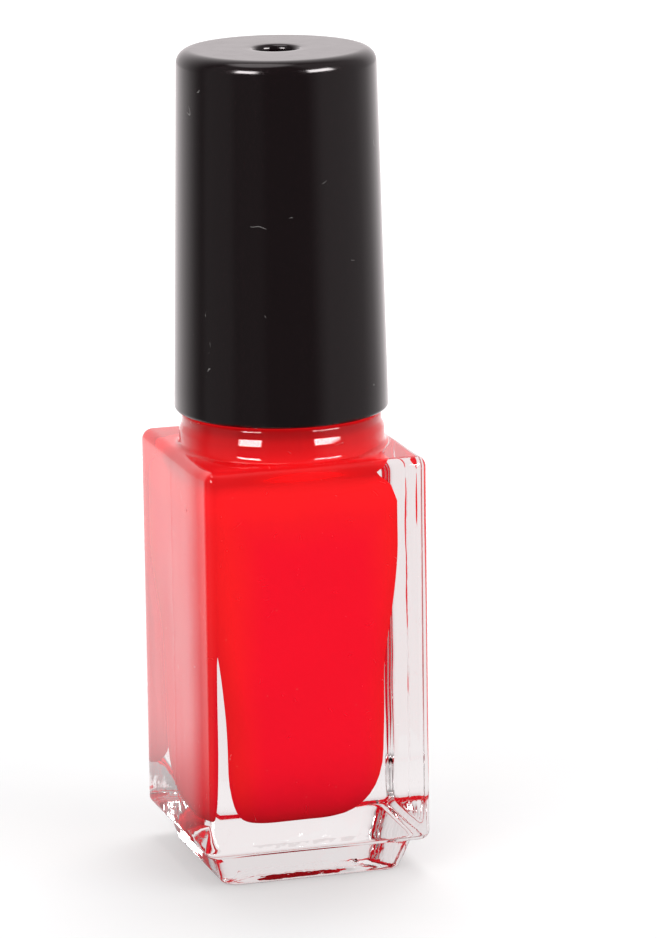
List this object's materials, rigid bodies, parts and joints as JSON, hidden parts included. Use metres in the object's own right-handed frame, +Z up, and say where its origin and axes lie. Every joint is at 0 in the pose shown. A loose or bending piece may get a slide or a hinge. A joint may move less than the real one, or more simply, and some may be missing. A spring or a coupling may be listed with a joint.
{
  "type": "nail polish bottle",
  "caption": "Square thick-walled glass bottle of red nail lacquer with a tall round glossy black screw cap that carries the brush.",
  "frame": {"origin": "centre of the glass foot's underside, on the surface the bottle stands on", "axes": "+Z up along the neck's axis, X and Y square to the flat sides of the glass"},
  "size_m": [0.0174, 0.0174, 0.0617],
  "materials": {
    "clear_glass": "clear, fire polished",
    "red_lacquer": "opaque wet lacquer",
    "ball_steel": "polished ball",
    "liner_foam": "closed-cell foam",
    "stem_plastic": "moulded, satin",
    "staple_metal": "bare wire",
    "bristle_nylon": "nylon filaments",
    "inner_cap_plastic": "moulded",
    "cap_black": "polished, lightly scuffed"
  },
  "bodies": {
    "bottle": {"glass_bottle": "clear_glass", "lacquer": "red_lacquer", "mixing_ball_1": "ball_steel", "mixing_ball_2": "ball_steel"},
    "liner": {"sealing_liner": "liner_foam"},
    "brush": {"brush_stem": "stem_plastic", "brush_staple": "staple_metal", "bristle_tuft": "bristle_nylon"},
    "cap": {"inner_cap": "inner_cap_plastic", "outer_cap": "cap_black"}
  },
  "joints": [
    {"name": "closure_lift", "type": "slide", "parent": "bottle", "child": "liner", "axis": [0, 0, 1], "range_m": [0, 0.045]},
    {"name": "thread_rise", "type": "slide", "parent": "liner", "child": "brush", "axis": [0, 0, 1], "range_m": [0, 0.0037]},
    {"name": "cap_unscrew", "type": "hinge", "parent": "brush", "child": "cap", "pos_m": [0, 0, 0.0347], "axis": [0, 0, 1], "range_deg": [0, 630]}
  ],
  "couplings": [
    {"joint": "cap_unscrew", "follows": "thread_rise", "rad_per_m": 2968}
  ]
}
